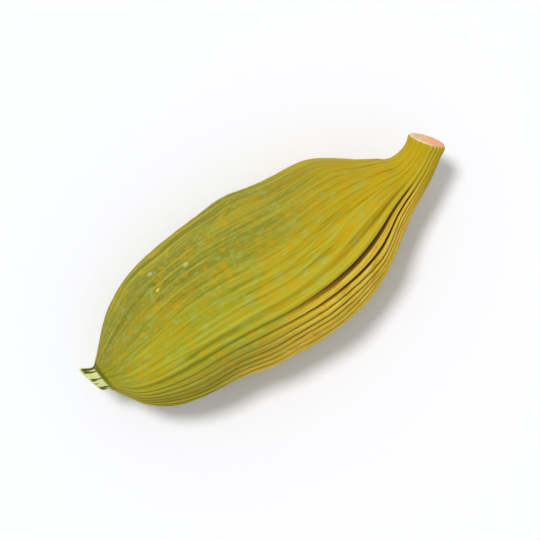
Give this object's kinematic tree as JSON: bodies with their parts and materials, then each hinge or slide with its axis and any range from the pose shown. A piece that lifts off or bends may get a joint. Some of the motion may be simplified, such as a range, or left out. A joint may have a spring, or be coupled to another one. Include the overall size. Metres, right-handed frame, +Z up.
{
  "type": "green cardamom pod",
  "caption": "Dried green cardamom pod lying on its side: a three-sided, lengthwise-ribbed husk with a short hollow beak at one end and a hooked, cut stalk stub at the other.",
  "frame": {"origin": "on the surface the pod lies on, under the middle of its outline seen from above", "axes": "+X along the pod toward the cut stalk, with the beak toward -X; +Z up; +Y to the left when looking toward the stalk"},
  "size_m": [0.019, 0.0078, 0.0068],
  "materials": {
    "husk": "dry, fibrous, matt plant husk, olive green with golden streaks"
  },
  "bodies": {
    "root": {"pod": "husk"}
  },
  "joints": []
}
